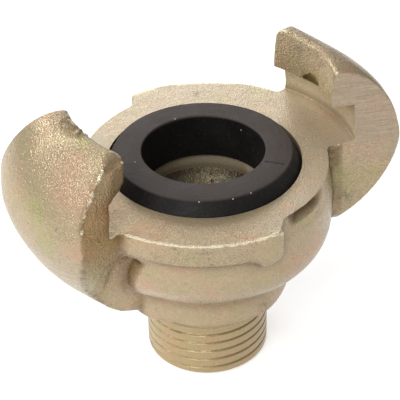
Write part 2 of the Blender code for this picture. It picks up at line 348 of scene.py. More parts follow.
# How far the real casting stands out (+) or in (-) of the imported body, each claw on its own
RIGHT_CLAW = (
    (26.4, 45, 12.2, -0.6),
    (26.5, 39.5, 12.1, -0.6),
    (26.6, 34, 12.1, -0.4),
    (28.1, 27.4, 11, -0.3),
    (29.3, 22, 9.9, -0.3),
    (29.9, 17, 9.4, -0.25),
    (30.8, 13, 8.2, -0.2),
    (31.9, 12.5, 5.5, -0.15),
    (32.8, 12, 1, 0.05),
    (32.1, 11.5, -2.4, 0.3),
    (30.4, 11, -5.3, 0.55),
    (27.5, 10, -9.1, 0.5),
    (24.4, 10, -12.6, 0.2),
    (21.9, 52, 13.6, -0.4),
    (22, 45, 13.9, -0.6),
    (22, 36, 13.9, -0.7),
    (22, 28, 13.7, -0.6),
    (21.9, 20, 13.5, -0.5),
    (21.9, 14, 13.3, -0.3),
    *((21.5, angle, 9, 0) for angle in (48, 36, 24, 14)),
    (23.4, 54.6, 10.6, 0.65),
    (23.4, 54.6, 7.6, 0.7),
    (26.4, 54.4, 4.5, 0.45),
    (26.4, 54.6, 1.5, 0.4),
    (23.3, 61, -1.5, 0.6),
    (20.8, 345, -9.5, 0.3),
    (20.7, 336.5, -10.9, 0.4),
    (20.2, 326, -12.5, 0.42),
    (19.8, 317, -13.3, 0.35),
    (14.5, 342, -22.8, -0.3),
    (14.5, 333, -23.2, -0.45),
    (14.5, 320, -23.5, 0.3),
    (22.6, 121, -1, 0.4),
    (23.1, 114, -1, 0.3),
)
LEFT_CLAW = (
    (22.5, 195.5, 13.4, 0.4),
    (23.3, 195, 13.4, 0.8),
    (24.5, 194.6, 13.2, 0.7),
    (26.9, 194.1, 12.2, 0.4),
    (29.5, 193, 10.1, 0.3),
    (31.4, 192.1, 7.1, 0.5),
    (33.1, 196.3, -0.8, 0.2),
    (32.9, 204.2, -3.1, 0.1),
    (31.2, 205.8, -7.7, -0.2),
    (29.2, 213, -10.8, -0.15),
    (25.6, 213, -15.5, 0),
    (22.2, 219, -18.1, 0.4),
    (18.4, 218, -21.4, 1.1),
    (22, 206, 13.7, 0.3),
    (22, 213, 13.4, 0.25),
    (24, 222, 12.5, 0),
    (28, 218, 8, 0),
    (31, 214, 2, 0),
    (23.3, 234.6, 11, 0.75),
    (23, 234.8, 8.8, 0.9),
    (19.2, 150, -1, -0.2),
    (19.6, 138, -1, -0.25),
    (21.7, 234.6, 6.9, -0.3),
)

# Corners that the real casting has well rounded:
# radius, angle, height above the face, reach, how tall, amount
ROUNDED = (
    (22.4, 235.8, 6.3, 1.3, 1, 0.9),
    (23, 301, -2, 1, 5, 0.4),
    (22.6, 13, 13.2, 1.5, 1, 0.45),
    (24.6, 13, 12.8, 1.7, 1, 0.8),
    (26.6, 12.7, 11.8, 1.7, 1, 0.8),
    (28.6, 12.4, 10.2, 1.5, 1, 0.7),
    (30.2, 12.2, 8.2, 1.2, 1, 0.5),
)

# Rough skin that the foundry left: radius, angle, height above the face, reach, size, depth
ROUGH = (
    (22.0, 203.0, 13.8, 1.2, 0.9, 0.30),
    (21.9, 208.0, 13.7, 1.2, 0.9, 0.30),
    (21.8, 213.0, 13.6, 1.2, 0.9, 0.30),
    (21.6, 8.0, -1.6, 1.4, 0.7, 0.35),
)


def roughened(points):
    """Uneven lumps on the rough places, in millimetres along the surface's normal."""
    total = np.zeros(len(points))
    for radius, angle, height, reach, size, depth in ROUGH:
        weight = bell(points, spot(radius, angle, height), reach)
        for index in np.nonzero(weight > 0.05)[0]:
            total[index] += depth * weight[index] * noise.noise(Vector(points[index] / size))
    return total


def pocket(points):
    """Depth of the pocket at the blind end of the band under each lobe, steep next to the claw."""
    radius, angle, height = about_axis(points)
    wall = 49.3 + (height + 6.5) * 1.02
    along = band(angle, wall - 1.2, wall + 2.2, wall + 4.0, wall + 15.0)
    down = band(-height, 6.2, 7.6, 13.5, 18.0)
    return POCKET_DEPTH * along * down * (radius < 24.5)


def undercut(points):
    """Depth of the crescent hollow under the flange's rim, beside the free end of each lobe."""
    radius, angle, height = about_axis(points)
    along = band(angle, 128.0, 137.0, 145.0, 158.0)
    down = band(-height, 0.05, 0.4, 0.9, 2.6)
    return UNDERCUT_DEPTH * along * down * band(radius, 17.0, 18.5, 22.5, 23.5)


def grind_edge(height):
    """How far out along the heel its grinding starts: it keeps clear of the flange and the bowl."""
    if height > GRIND_SHOULDER:
        return 19.0
    return 24.0 + max(0.0, FACE_Z - 1.0 - height) * 1.6


def flatten_heels(points):
    """Bring the casting flush with the heel plane near the bowl, where it isn't ground."""
    radius = np.hypot(points[:, 0], points[:, 1])
    turn = math.radians(HEEL_DIRECTION)
    for side in SIDES:
        x, y = side * points[:, 0], side * points[:, 1]
        gap = heel_distance(x, y, points[:, 2])
        near = (gap < 0.0) & (gap > -FLUSH_REACH) & (x > 18.0) & (points[:, 2] < GRIND_SHOULDER)
        move = np.where(near, -gap * ramp(radius, 21.3, 23.6), 0.0)
        points[:, 0] -= side * move * math.sin(turn)
        points[:, 1] += side * move * math.cos(turn)


def lift_brim(points):
    """Height that the bowl's lower brim gains, in millimetres."""
    radius = np.hypot(points[:, 0], points[:, 1])
    low = band(points[:, 2], 19.0, 23.5, 26.0, 31.0)
    return BRIM_LIFT * low * (1.0 - ramp(radius, 21.5, 23.0))


def swell(points):
    """How much fuller the real casting is at the neck's lower end, in millimetres."""
    radius = np.hypot(points[:, 0], points[:, 1])
    low = 1.0 - ramp(points[:, 2], 15.0, 19.0)
    return NECK_SWELL * low * band(radius, 10.0, 10.6, 15.0, 16.5)


def shape_casting(piece):
    """Fill the inner corners as a foundry does, and bring the claws to the real casting's form."""
    mesh = piece.data
    points = coordinates(mesh) / MM
    pairs = edge_pairs(mesh)
    degree = vertex_degree(len(points), pairs)
    hollow = ramp(points[:, 2], THREAD_END + 1.0, THREAD_END + 3.0)
    corner = np.zeros(len(points))
    for radius, angle, height, reach, tall, amount in ROUNDED:
        away = (points - spot(radius, angle, height)) / (1.0, 1.0, tall)
        near = 1.0 - ramp(np.sqrt((away**2).sum(1)), reach, 2.0 * reach)
        corner = np.maximum(corner, amount * near)
    for round_number in range(FILLET_ROUNDS):
        if round_number % NORMALS_EVERY == 0:
            set_coordinates(mesh, points * MM)
            normals = vertex_normals(mesh)
        pull = neighbour_mean(points, pairs, degree) - points
        outward = (pull * normals).sum(1)
        outer = np.maximum(corner, 1.0 if round_number < SOFTEN_ROUNDS else 0.0)
        share = np.where(outward > 0.0, hollow, outer)
        along = pull - normals * outward[:, None]
        points = points + normals * (outward * share)[:, None] + SLIDE * along
    set_coordinates(mesh, points * MM)
    normals = vertex_normals(mesh)
    right, left = (soft_field(points, normals, anchors) for anchors in (RIGHT_CLAW, LEFT_CLAW))
    points += right + left
    points += normals * roughened(points)[:, None]
    depth = undercut(points) + pocket(points) - swell(points)
    points[:, :2] *= (1.0 - depth / np.hypot(points[:, 0], points[:, 1]))[:, None]
    points[:, 2] += lift_brim(points)
    flatten_heels(points)
    set_coordinates(mesh, points * MM)


# ---- machining

def dense(outline):
    """The same outline with points no further apart than the cut faces' fineness."""
    points = []
    for (radius, height), (next_radius, next_height) in zip(outline, outline[1:] + outline[:1]):
        along, up = next_radius - radius, next_height - height
        steps = max(1, round(math.hypot(along, up) / CUT_STEP))
        for step in range(steps):
            share = step / steps
            points.append((radius + along * share, height + up * share))
    return points


def facing_cutter(metal, slot_metal):
    """Turning tool with a rounded nose, for the mating face and the slots of both claws."""
    outline = [(FACING_INNER, FACE_Z), (SLOT_RADIUS - TOOL_NOSE, FACE_Z)]
    outline += arc(SLOT_RADIUS - TOOL_NOSE, FACE_Z + TOOL_NOSE, TOOL_NOSE, (-60.0, -30.0, 0.0))
    outline += [(SLOT_RADIUS, SLOT_TOP), (FACING_INNER, SLOT_TOP)]
    mesh = turned(dense(outline), FACING_SIDES, "facing")
    piece = new_piece("facing", mesh, [metal, slot_metal])
    for face in piece.data.polygons:
        face.material_index = 1 if face.center.z > (FACE_Z + WALL_MARGIN) * MM else 0
    return piece


def boring_cutter(metal, wall_metal, shaded_bore_metal):
    """Boring tool for the seal's groove, the throat below it, the cone and the bore."""
    outline = [
        (CORE_RADIUS, CUT_BOTTOM),
        (BORE_RADIUS, CUT_BOTTOM),
        (BORE_RADIUS, CONE_FLOOR),
        (THROAT_RADIUS, THROAT_FLOOR),
        (THROAT_RADIUS, GROOVE_FLOOR),
        (GROOVE_RADIUS, GROOVE_FLOOR),
        (GROOVE_RADIUS, CUT_TOP),
        (CORE_RADIUS, CUT_TOP),
    ]
    mesh = turned(dense(outline), BORING_SIDES, "boring")
    piece = new_piece("boring", mesh, [metal, wall_metal, shaded_bore_metal])
    for face in piece.data.polygons:
        height = face.center.z / MM + FACE_MARGIN
        # the cone and bore get a dark finish: painted shade deep in the throat
        face.material_index = 2 if height < THROAT_FLOOR else 1 if height < GROOVE_FLOOR else 0
    return piece


def grinding_cutter(metal, side):
    """Slab whose rear face is the heel's ground plane."""
    turn = math.radians(HEEL_DIRECTION)
    lean = math.tan(math.radians(HEEL_LEAN))
    bm = bmesh.new()

    def point(reach, offset, height):
        x = reach * math.cos(turn) - offset * math.sin(turn)
        y = reach * math.sin(turn) + offset * math.cos(turn)
        return bm.verts.new((side * x * MM, side * y * MM, height * MM))

    def wall(depth):
        rows = []
        for row in range(GRIND_ROWS):
            height = GRIND_BOTTOM + CUT_STEP * row
            inner = grind_edge(height)
            offset = HEEL_OFFSET + (height - FACE_Z) * lean - depth
            rows.append([
                point(inner + (GRIND_REACH - inner) * column / GRIND_COLUMNS, offset, height)
                for column in range(GRIND_COLUMNS + 1)
            ])
        return rows

    back, front = wall(0.0), wall(GRIND_DEPTH)
    for rows in (back, front):
        for low, high in zip(rows, rows[1:]):
            bridge(bm, low, high)
    for i in (0, -1):
        bridge(bm, back[i], front[i])
    for i in (0, -1):
        bridge(bm, [line[i] for line in back], [line[i] for line in front])
    return new_piece("grinding", solid_from(bm, "grinding"), [metal])


def wedge_cutter(name, metal, side, near, far, bottom, rows):
    """Tool for a pocket between two radii; its roof is given as (angle, height) along it."""
    bm = bmesh.new()
    loops = []
    for angle, top in rows:
        loops.append([])
        for radius, height in ((near, bottom), (far, bottom), (far, top), (near, top)):
            x, y, z = polar(radius, angle, height)
            loops[-1].append(bm.verts.new((side * x, side * y, z)))
    for low, high in zip(loops, loops[1:]):
        bridge(bm, low, high, closed=True)
    bm.faces.new(loops[0])
    bm.faces.new(loops[-1])
    return new_piece(name, solid_from(bm, name), [metal])


def notch_cutter(metal, side):
    """Locking notch in the lip's lower inner edge, steep at its end near the toe."""
    rows = ((29.4, 46.6), (30.2, 46.9), (34.0, 46.8), (37.2, 45.9), (40.4, 44.8))
    near, far = LIP_RADIUS - 1.5, LIP_RADIUS + 2.0
    return wedge_cutter("notching", metal, side, near, far, 43.4, rows)


def recess_cutter(metal, side):
    """Cored hollow in the slot's wall behind the locking notch."""
    rows = ((38.6, 44.9), (41.6, 44.9), (44.6, 44.9), (47.4, 44.9))
    near, far = SLOT_RADIUS - 0.8, SLOT_RADIUS + 0.8
    return wedge_cutter("coring", metal, side, near, far, 41.6, rows)


def cut(piece, tools):
    for tool in tools:
        change = piece.modifiers.new(tool.name, "BOOLEAN")
        change.operation = "DIFFERENCE"
        change.solver = "MANIFOLD"
        change.material_mode = "TRANSFER"
        change.object = tool
    applied(piece)
    for tool in tools:
        bpy.data.objects.remove(tool, do_unlink=True)


def on_heel(points, near, start):
    """True on the claws' heel faces, from the distance start outwards."""
    found = np.zeros(len(points), dtype=bool)
    for side in SIDES:
        x, y = side * points[:, 0], side * points[:, 1]
        found |= (np.abs(heel_distance(x, y, points[:, 2])) < near) & (x > start)
    return found


def rub_and_highlight_gain(points):
    """How much the edges are rubbed bright and given painted highlight: most on the lobes' rims,
    least on the heels.
    """
    radius, angle, height = about_axis(points)
    rims = (radius > 22.4) & (radius < 24.2) & (np.abs(height) < 1.0)
    toes = (np.abs(angle - 53.0) < 5.0) & (height > -4.0) & (radius > 22.6)
    crests = (radius < 23.6) & (height > 12.0)
    heels = on_heel(points, 0.15, 19.0)
    gain = np.full(len(points), 0.35)
    for where, amount in ((rims, 2.4), (toes, 0.9), (crests, 0.9), (heels, 0.2)):
        gain[where] = amount
    return gain


def film_and_painted_shade(points, normals):
    """Where the film is thick and darker, partly painted shade: the toes' end faces, by the way they
    face, and the front of the mating face.
    """
    x, y = points[:, 0], points[:, 1]
    angle = np.degrees(np.arctan2(y, x))
    radius = np.hypot(x, y)
    height = points[:, 2] - FACE_Z
    toes = np.zeros(len(points))
    for start in (0.0, 180.0):
        turn = math.radians(start + TOE_FACING)
        # painted shade: the end faces darker as their normals turn towards TOE_FACING
        facing = ramp(normals[:, 0] * math.cos(turn) + normals[:, 1] * math.sin(turn), 0.45, 0.85)
        away = (angle - start + 180.0) % 360.0 - 180.0
        toes = np.maximum(toes, facing * band(away, 44.0, 50.0, 62.0, 70.0))
    toes *= ramp(radius, 20.5, 22.0) * ramp(height, -12.0, -2.0)
    toes *= 1.0 - 0.5 * ramp(height, 6.0, 9.0)
    front = 0.5 * ramp(-y, 4.0, 15.0) * (1.0 - ramp(x, 4.0, 14.0)) * (np.abs(height) < 0.05)
    return np.maximum(toes, front)


# Where the real skin is pink, green, coarse or stained grey:
# radius, angle, height above the face, reach
PINK = (
    (27.5, 223.6, 11.2, 2.4),
    (28.7, 230.7, 9.5, 2.4),
    (23.1, 201.2, 14, 1.5),
    (31.3, 230.8, -0.4, 2),
    (20.7, 250.3, 0, 2.2),
    (23.2, 287.2, -0.8, 2),
    (21.2, 330.5, -9.1, 2.5),
    (21.1, 315, -10, 2),
    (29.3, 12, 6.8, 2),
    (19.9, 240.3, -13.2, 2.2),
)
GREEN = (
    (24.1, 209, 13.7, 1.6),
    (24.2, 217.9, 13.6, 1.6),
    (32.1, 217.5, 4.1, 2.2),
    (32.4, 222.1, -0.6, 2.4),
    (26.5, 229.1, -7.2, 1.6),
    (24.4, 223.8, -12.3, 1.8),
    (23.2, 263.9, -2.6, 1.6),
    (21.9, 5.6, -6.4, 2),
    (22.6, 64.9, 0, 1.6),
)
COARSE = (
    (27, 224, 11.8, 3.4),
    (28.7, 231, 8, 3.2),
    (30.5, 229, 3, 2.6),
    (22.5, 205, 13.8, 2),
    (26.5, 229.1, -7.2, 3),
    *((23.2, angle, -3.4, 1.8) for angle in (252, 260, 268, 276, 284)),
    (24, 30, 13.4, 2.2),
    (23.4, 42, 13.4, 2.2),
)
STAINS = (
    (26.4, 212.7, 12.2, 0.7),
    (26.4, 214.2, 12.1, 0.5),
    (21.8, 42.5, 11.8, 0.7),
    (19.8, 93.7, 0, 0.6),
    (23.2, 258.7, -0.9, 0.7),
    (23.2, 269.6, -1.1, 1.1),
    (22, 3.9, -13.2, 0.8),
    (23.7, 5.6, -9.6, 1),
    (14.2, 311, -22.2, 1),
)


def spots(points, table):
    """1 at the middle of each spot in a table, fading away from it."""
    total = np.zeros(len(points))
    for radius, angle, height, reach in table:
        total = np.maximum(total, bell(points, spot(radius, angle, height), reach))
    return total


def write_attribute(mesh, name, values):
    data = mesh.attributes.new(name, "FLOAT", "POINT").data
    data.foreach_set("value", values.astype(np.float32))


def mark_skin(mesh):
    """Attributes the finishes read: thick film with painted shade, spots, rubbed outer edges with
    painted highlight, painted corner shade.
    """
    points = coordinates(mesh) / MM
    normals = vertex_normals(mesh)
    # the film mark is partly painted shade, and the pockets get some of it as painted shade
    film = np.maximum(film_and_painted_shade(points, normals), 0.3 * pocket(points))
    write_attribute(mesh, "film", film)
    for name, table in (("pink", PINK), ("green", GREEN), ("coarse", COARSE), ("stain", STAINS)):
        write_attribute(mesh, name, spots(points, table))
    pairs = edge_pairs(mesh)
    degree = vertex_degree(len(points), pairs)
    bm = bmesh.new()
    bm.from_mesh(mesh)
    bend = [e.calc_face_angle_signed(0.0) if e.is_manifold else 0.0 for e in bm.edges]
    bend = np.array(bend)
    bm.free()
    # painted highlight: the edge mark is kept to edges that face up
    rubbed = ramp(normals[:, 2], -0.3, 0.2) * rub_and_highlight_gain(points)
    # the hollow mark is painted shade in inner corners, left off the ground heels
    corner_shade_share = 1.0 - on_heel(points, 0.3, 23.0)
    for name, sign, rounds, full, share in (
        ("edge", 1.0, 1, 0.75, rubbed),
        ("hollow", -1.0, 5, 0.18, corner_shade_share),
    ):
        sharp = np.clip(sign * bend, 0.0, 1.2)
        value = np.zeros(len(points))
        np.maximum.at(value, pairs[:, 0], sharp)
        np.maximum.at(value, pairs[:, 1], sharp)
        for _ in range(rounds):
            value = 0.5 * value + 0.5 * neighbour_mean(value, pairs, degree)
        write_attribute(mesh, name, np.clip(value / full, 0.0, 1.0) * share)


def make_body(metal):
    """Cast and machined body; metal holds its finishes by name."""
    piece = casting()
    piece.data.materials.clear()
    piece.data.materials.append(metal["cast_zinc"])
    shape_casting(piece)
    turning = facing_cutter(metal["turned_zinc"], metal["slotted_zinc"])
    boring = boring_cutter(metal["turned_zinc"], metal["slotted_zinc"], metal["shaded_bore_zinc"])
    cut(piece, [turning, boring])
    cut(piece, [grinding_cutter(metal["ground_zinc"], side) for side in SIDES])
    for side in SIDES:
        tools = [make(metal["notched_zinc"], side) for make in (notch_cutter, recess_cutter)]
        cut(piece, tools)
    mark_skin(piece.data)
    piece.data.shade_smooth()
    piece.data.set_sharp_from_angle(angle=math.radians(BODY_SHARP))
    return piece


# ---- thread

def thread_tree():
    """Cut pipe thread: a fine sleeve whose radius follows a helix and runs out at its top."""
    tree = bpy.data.node_groups.new("cut_thread", "GeometryNodeTree")
    for label, value in (
        ("Radius", THREAD_RADIUS),
        ("Depth", THREAD_DEPTH),
        ("Pitch", THREAD_PITCH),
        ("Length", THREAD_END),
        ("Run-out start", RUN_OUT_START),
        ("Run-out end", RUN_OUT_END),
        ("Chamfer", THREAD_CHAMFER),
    ):
        socket = tree.interface.new_socket(label, in_out="INPUT", socket_type="NodeSocketFloat")
        socket.default_value = value * MM
    tree.interface.new_socket("Metal", in_out="INPUT", socket_type="NodeSocketMaterial")
    tree.interface.new_socket("Geometry", in_out="OUTPUT", socket_type="NodeSocketGeometry")
    work = Tree(tree)
    start = tree.nodes.new("NodeGroupInput").outputs
    end = tree.nodes.new("NodeGroupOutput").inputs
    grid = work.add(
        "GeometryNodeMeshGrid",
        {"Size X": 1.0, "Size Y": 1.0, "Vertices X": THREAD_COLUMNS, "Vertices Y": THREAD_ROWS},
    )
    across, up = work.axes(work.add("GeometryNodeInputPosition"))[:2]
    share = work.maths("ADD", across, 0.5)
    height = work.maths("MULTIPLY", work.maths("ADD", up, 0.5), start["Length"])
    turn = work.maths("MULTIPLY", share, 2.0 * math.pi)
    phase = work.maths("SUBTRACT", work.maths("DIVIDE", height, start["Pitch"]), share)
    saw = work.maths("PINGPONG", work.maths("ADD", phase, THREAD_START), 0.5)
    flank = work.maths("SUBTRACT", 1.0, work.span(saw, 0.02, 0.15))
    depth = work.maths("MULTIPLY", flank, start["Depth"])
    fade = work.span(height, start["Run-out start"], start["Run-out end"])
    depth = work.maths("MULTIPLY", depth, work.maths("SUBTRACT", 1.0, fade))
    radius = work.maths("SUBTRACT", start["Radius"], depth)
    bevel = work.maths("SUBTRACT", start["Radius"], start["Chamfer"])
    radius = work.maths("MINIMUM", radius, work.maths("ADD", bevel, height))
    x = work.maths("MULTIPLY", radius, work.maths("COSINE", turn))
    y = work.maths("MULTIPLY", radius, work.maths("SINE", turn))
    point = work.add("ShaderNodeCombineXYZ", (x, y, height))
    sleeve = work.add("GeometryNodeSetPosition", {"Geometry": grid, "Position": point})
    closed = work.add("GeometryNodeMergeByDistance", {"Geometry": sleeve, "Distance": WELD})
    whole = work.add("GeometryNodeRealizeInstances", {"Geometry": closed})
    painted = work.add("GeometryNodeSetMaterial", {"Geometry": whole, "Material": start["Metal"]})
    work.put(end["Geometry"], painted)
    return tree


def make_thread(metal):
    """Threaded sleeve, closed at both ends and down the bore."""
    piece = new_piece("male_thread", bpy.data.meshes.new("male_thread"), [metal])
    change = piece.modifiers.new("thread", "NODES")
    change.node_group = thread_tree()
    items = change.node_group.interface.items_tree
    sockets = {item.name: item.identifier for item in items if item.in_out == "INPUT"}
    change[sockets["Metal"]] = metal
    applied(piece)
    bm = bmesh.new()
    bm.from_mesh(piece.data)
    heights = [v.co.z for v in bm.verts if any(e.is_boundary for e in v.link_edges)]
    middle = (min(heights) + max(heights)) / 2
    for low in (True, False):
        rim = [e for e in bm.edges if e.is_boundary and (e.verts[0].co.z < middle) == low]
        made = bmesh.ops.extrude_edge_only(bm, edges=rim)["geom"]
        for vertex in (g for g in made if isinstance(g, bmesh.types.BMVert)):
            flat = Vector((vertex.co.x, vertex.co.y)).normalized() * BORE_RADIUS * MM
            vertex.co = (flat.x, flat.y, vertex.co.z)
    bmesh.ops.bridge_loops(bm, edges=[e for e in bm.edges if e.is_boundary])
    bmesh.ops.remove_doubles(bm, verts=bm.verts, dist=WELD)
    bmesh.ops.recalc_face_normals(bm, faces=bm.faces)
    bm.to_mesh(piece.data)
    bm.free()
    piece.data.shade_smooth()
    piece.data.set_sharp_from_angle(angle=math.radians(THREAD_SHARP))
    return piece


# ---- seal

def make_seal(rubber):
    """Rubber ring, standing proud of the face and pressed in a little deeper at its back."""
    top = FACE_Z + SEAL_PROUD
    edge = SEAL_INNER_EDGE
    outline = [(SEAL_BORE, SEAL_BOTTOM)]
    outline += arc(SEAL_BORE + edge, top - edge, edge, (180.0, 157.5, 135.0, 112.5, 90.0))
    outline += [(12.0, top + 0.02), (13.5, top - 0.05)]
    edge = SEAL_RIM_EDGE
    outline += arc(SEAL_RIM - edge, top - SEAL_RIM_DROP, edge, (80.0, 66.0, 52.0, 38.0, 24.0))
    outline += [(SEAL_RADIUS, FACE_Z - 0.5), (SEAL_RADIUS, SEAL_BOTTOM)]
    mesh = turned(outline, SEAL_SIDES, "seal")
    points = coordinates(mesh) / MM
    share = ramp(points[:, 2], 32.0, FACE_Z)
    points[:, 2] -= points[:, 1] * math.tan(math.radians(SEAL_LEAN)) * share
    points[:, 0] -= SEAL_SHIFT * share
    set_coordinates(mesh, points * MM)
    return new_piece("seal", mesh, [rubber])


# ---- materials

class Tree:
    """Short way to write a node tree: each call adds one node and returns its output."""

    def __init__(self, tree):
        self.tree = tree

    def put(self, socket, value):
        if isinstance(value, bpy.types.NodeSocket):
            self.tree.links.new(value, socket)
        else:
            socket.default_value = value

    def add(self, kind, values=(), output=0, **settings):
        node = self.tree.nodes.new(kind)
        for name, value in settings.items():
            setattr(node, name, value)
        pairs = values.items() if isinstance(values, dict) else enumerate(values)
        for key, value in pairs:
            self.put(node.inputs[key], value)
        return node.outputs[output]

    def maths(self, operation, *values):
        return self.add("ShaderNodeMath", values, operation=operation)

    def span(self, value, low, high, to_low=0.0, to_high=1.0):
        """The value's place between low and high, smooth, as a number from to_low to to_high."""
        values = {"Value": value, "From Min": low, "From Max": high}
        values |= {"To Min": to_low, "To Max": to_high}
        return self.add("ShaderNodeMapRange", values, interpolation_type="SMOOTHSTEP")

    def blend(self, factor, first, second, mode="MIX"):
        node = self.tree.nodes.new("ShaderNodeMix")
        node.data_type = "RGBA"
        node.blend_type = mode
        self.put(node.inputs[0], factor)
        self.put(node.inputs[6], first)
        self.put(node.inputs[7], second)
        return node.outputs[2]

    def place(self, stretch=(1.0, 1.0, 1.0), turn=(0.0, 0.0, 0.0)):
        where = self.add("ShaderNodeTexCoord", output="Object")
        return self.add("ShaderNodeMapping", {"Vector": where, "Scale": stretch, "Rotation": turn})

    def axes(self, where):
        node = self.tree.nodes.new("ShaderNodeSeparateXYZ")
        self.put(node.inputs[0], where)
        return list(node.outputs)

    def noise(self, where, size, detail=2.0, roughness=0.5):
        """Noise whose features are about size millimetres across."""
        return self.add(
            "ShaderNodeTexNoise",
            {"Vector": where, "Scale": 1.0 / (size * MM), "Detail": detail, "Roughness": roughness},
        )

    def cells(self, where, size, feature):
        """Rounded cells about size millimetres apart, 0 at their middles."""
        return self.add(
            "ShaderNodeTexVoronoi", {"Vector": where, "Scale": 1.0 / (size * MM)}, feature=feature
        )

    def mark(self, name):
        """One of the attributes that mark_skin writes."""
        return self.add("ShaderNodeAttribute", output="Fac", attribute_name=name)

    def group(self, tree, values):
        node = self.tree.nodes.new("ShaderNodeGroup")
        node.node_tree = tree
        for key, value in values.items():
            self.put(node.inputs[key], value)
        return node.outputs

    def bump(self, height, distance):
        values = {"Strength": 1.0, "Distance": distance, "Height": height}
        return self.add("ShaderNodeBump", values, output="Normal")


def effect(name, inputs, outputs, output_kind="NodeSocketFloat"):
    """Empty shader node group, with (name, default) for each input and a name for each output."""
    tree = bpy.data.node_groups.new(name, "ShaderNodeTree")
    for label, value in inputs:
        kind = "NodeSocketColor" if isinstance(value, tuple) else "NodeSocketFloat"
        tree.interface.new_socket(label, in_out="INPUT", socket_type=kind).default_value = value
    for label in outputs:
        tree.interface.new_socket(label, in_out="OUTPUT", socket_type=output_kind)
    start = tree.nodes.new("NodeGroupInput").outputs
    end = tree.nodes.new("NodeGroupOutput").inputs
    return Tree(tree), start, end


def colour(red, green, blue):
    """Linear colour from the 0 to 255 values that a screen shows."""
    return tuple((c / 255.0) ** 2.2 for c in (red, green, blue)) + (1.0,)


def grain_effect():
    """Sand-cast skin: rounded grains of several sizes, a few pits, and slow unevenness."""
    work, start, end = effect(
        "sand_cast_grain", (("Grain size", 1.0), ("Pits", 1.0)), ("Height", "Tone", "Pit mask")
    )
    where = work.place()
    scale = work.maths("DIVIDE", 1.0, start["Grain size"])
    scaled = work.add("ShaderNodeVectorMath", {0: where, "Scale": scale}, operation="SCALE")
    fine = work.noise(scaled, 0.3)
    medium = work.noise(scaled, 0.8)
    slow = work.noise(scaled, 5.0, 1.0)
    grains = work.cells(scaled, 0.30, "F1")
    sparse = work.span(work.noise(where, 3.0), 0.58, 0.70)
    pit = work.span(work.cells(scaled, 0.9, "SMOOTH_F1"), 0.30, 0.12)
    pit = work.maths("MULTIPLY", pit, work.maths("MULTIPLY", sparse, start["Pits"]))
    height = work.maths("MULTIPLY_ADD", fine, 0.35, work.maths("MULTIPLY", medium, 0.4))
    height = work.maths("MULTIPLY_ADD", work.maths("SUBTRACT", 1.0, grains), 0.26, height)
    height = work.maths("MULTIPLY_ADD", slow, 1.0, height)
    height = work.maths("SUBTRACT", height, work.maths("MULTIPLY", pit, 0.8))
    work.put(end["Height"], height)
    tone = work.maths("MULTIPLY_ADD", fine, 0.6, work.maths("MULTIPLY", medium, 0.4))
    work.put(end["Tone"], tone)
    work.put(end["Pit mask"], pit)
    return work.tree


def passivation_effect():
    """Yellow passivation: a beige film with slow pink and green tints and fine mottling."""
    work, start, end = effect(
        "passivation",
        (
            ("Base", (0.4, 0.3, 0.2, 1.0)),
            ("Pink", (0.5, 0.3, 0.2, 1.0)),
            ("Green", (0.4, 0.4, 0.2, 1.0)),
            ("Tint amount", 1.0),
        ),
        ("Color",),
        output_kind="NodeSocketColor",
    )
    where = work.place()
    pink_spots, green_spots = work.mark("pink"), work.mark("green")
    pink = work.maths("MULTIPLY_ADD", pink_spots, 0.16, work.noise(where, 5.0, 4.0, 0.65))
    pink = work.span(work.maths("MULTIPLY_ADD", green_spots, -0.15, pink), 0.44, 0.76)
    green = work.noise(work.place(turn=(0.7, 1.1, 0.4)), 6.0, 4.0, 0.65)
    green = work.maths("MULTIPLY_ADD", green_spots, 0.20, green)
    green = work.span(work.maths("MULTIPLY_ADD", pink_spots, -0.2, green), 0.46, 0.78)
    speck = work.span(work.noise(where, 0.8, 2.0, 0.6), 0.50, 0.68)
    amount = start["Tint amount"]
    tone = work.blend(work.maths("MULTIPLY", pink, amount), start["Base"], start["Pink"])
    tone = work.blend(work.maths("MULTIPLY", green, amount), tone, start["Green"])
    tone = work.blend(work.maths("MULTIPLY", speck, 0.12), tone, start["Pink"])
    work.put(end["Color"], tone)
    return work.tree


def wear_and_highlight_effect():
    """Where handling has rubbed the outer edges bright, with painted highlight, broken up by the
    grain.
    """
    work, start, end = effect("edge_wear_and_highlight", (("Amount", 1.0), ("Start", 0.3)), ("Mask",))
    break_up = work.span(work.noise(work.place(), 1.3, 3.0, 0.6), 0.3, 0.7, 0.45, 1.25)
    level = work.maths("MULTIPLY", work.mark("edge"), break_up)
    mask = work.span(level, start["Start"], work.maths("ADD", start["Start"], 0.45))
    work.put(end["Mask"], work.maths("MULTIPLY", mask, start["Amount"]))
    return work.tree


# Multipliers: brown painted shade in inner corners, and the film where it is thick and golden, partly
# painted shade
CORNER_SHADE_TINT = (0.42, 0.34, 0.24, 1.0)
THICK_FILM_AND_SHADE = (0.74, 0.62, 0.43, 1.0)

# Screen colours of grey stains and of metal rubbed bright with painted highlight, and how far it is
# rubbed
STAIN_GREY = (92, 84, 76)
RUBBED_BRIGHT_AND_HIGHLIGHT = (240, 228, 196)
RUB_AND_HIGHLIGHT_AMOUNT = 0.8


def new_material(name):
    material = bpy.data.materials.new(name)
    material.use_nodes = True
    work = Tree(material.node_tree)
    return material, work, material.node_tree.nodes["Principled BSDF"]


